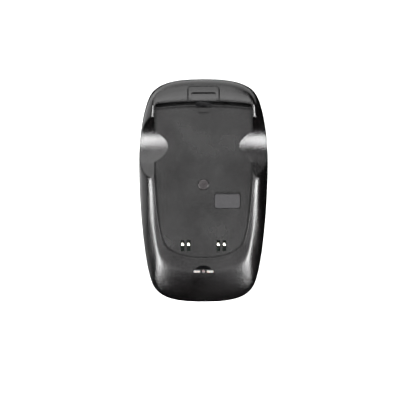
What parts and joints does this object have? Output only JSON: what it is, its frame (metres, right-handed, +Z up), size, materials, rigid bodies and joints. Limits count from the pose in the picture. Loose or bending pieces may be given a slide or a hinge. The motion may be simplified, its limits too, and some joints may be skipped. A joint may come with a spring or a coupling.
{
  "type": "radio charging cradle",
  "caption": "desktop charging cradle: rounded black housing with high side rails, finger scoops, flat pocket plate, sprung latch with release button, leaf contacts and rubber feet",
  "frame": {"origin": "middle of the footprint on the surface that the feet stand on", "axes": "+Z up out of the pocket, +Y along the body towards the latch, +X to the right seen from above with the latch at the top"},
  "size_m": [0.0706, 0.122, 0.0215],
  "materials": {
    "textured_black": "fine spark texture",
    "smooth_black": "smooth moulded",
    "rubber": "soft matt",
    "steel": "bright zinc plated",
    "spring_bronze": "nickel plated spring strip",
    "solder_mask": "green solder mask",
    "component": "moulded component body",
    "clear_lamp": "milky light guide",
    "amber_lamp": "pale tinted lamp",
    "label": "blank printed film"
  },
  "bodies": {
    "cradle": {"top_housing": "textured_black", "base_housing": "textured_black", "pocket_plate": "textured_black", "screw_cap": "textured_black", "latch_retainer": "smooth_black", "status_window": "smooth_black", "dc_inlet": "smooth_black", "service_cover": "rubber", "rubber_foot_1": "rubber", "rubber_foot_2": "rubber", "rubber_foot_3": "rubber", "rubber_foot_4": "rubber", "latch_spring": "steel", "plate_screw": "steel", "board_screw_1": "steel", "board_screw_2": "steel", "housing_screw_1": "steel", "housing_screw_2": "steel", "housing_screw_3": "steel", "housing_screw_4": "steel", "retainer_screw_1": "steel", "retainer_screw_2": "steel", "dc_inlet_pin": "steel", "capacitor_1": "steel", "capacitor_2": "steel", "circuit_board": "solder_mask", "charger_chip": "component", "power_inductor": "component", "service_connector": "component", "contact_block_left": "component", "contact_block_right": "component", "lamp_bar_left": "clear_lamp", "lamp_bar_right": "clear_lamp", "led_left": "clear_lamp", "led_right": "clear_lamp", "status_lamp": "amber_lamp", "status_led": "amber_lamp", "rating_plate": "label"},
    "button": {"release_button": "textured_black"},
    "latch": {"latch_bolt": "smooth_black"},
    "contact_1": {"contact_spring_1": "spring_bronze"},
    "contact_2": {"contact_spring_2": "spring_bronze"},
    "contact_3": {"contact_spring_3": "spring_bronze"},
    "contact_4": {"contact_spring_4": "spring_bronze"}
  },
  "joints": [
    {"name": "button_press", "type": "slide", "parent": "cradle", "child": "button", "axis": [0, 0, -1], "range_m": [0, 0.0012], "stiffness_N_per_m": 400, "springref_m": -0.003},
    {"name": "latch_slide", "type": "slide", "parent": "cradle", "child": "latch", "axis": [0, 1, 0], "range_m": [0, 0.0018], "deforming": ["latch_spring"]},
    {"name": "contact_flex_1", "type": "hinge", "parent": "cradle", "child": "contact_1", "pos_m": [-0.0114, -0.0241, 0.0102], "axis": [1, 0, 0], "range_deg": [0, 7], "stiffness_Nm_per_rad": 0.05, "springref_deg": -5.73},
    {"name": "contact_flex_2", "type": "hinge", "parent": "cradle", "child": "contact_2", "pos_m": [-0.0081, -0.0241, 0.0102], "axis": [1, 0, 0], "range_deg": [0, 7], "stiffness_Nm_per_rad": 0.05, "springref_deg": -5.73},
    {"name": "contact_flex_3", "type": "hinge", "parent": "cradle", "child": "contact_3", "pos_m": [0.0081, -0.0241, 0.0102], "axis": [1, 0, 0], "range_deg": [0, 7], "stiffness_Nm_per_rad": 0.05, "springref_deg": -5.73},
    {"name": "contact_flex_4", "type": "hinge", "parent": "cradle", "child": "contact_4", "pos_m": [0.0114, -0.0241, 0.0102], "axis": [1, 0, 0], "range_deg": [0, 7], "stiffness_Nm_per_rad": 0.05, "springref_deg": -5.73}
  ],
  "couplings": [
    {"joint": "latch_slide", "follows": "button_press", "ratio": 1.5}
  ]
}
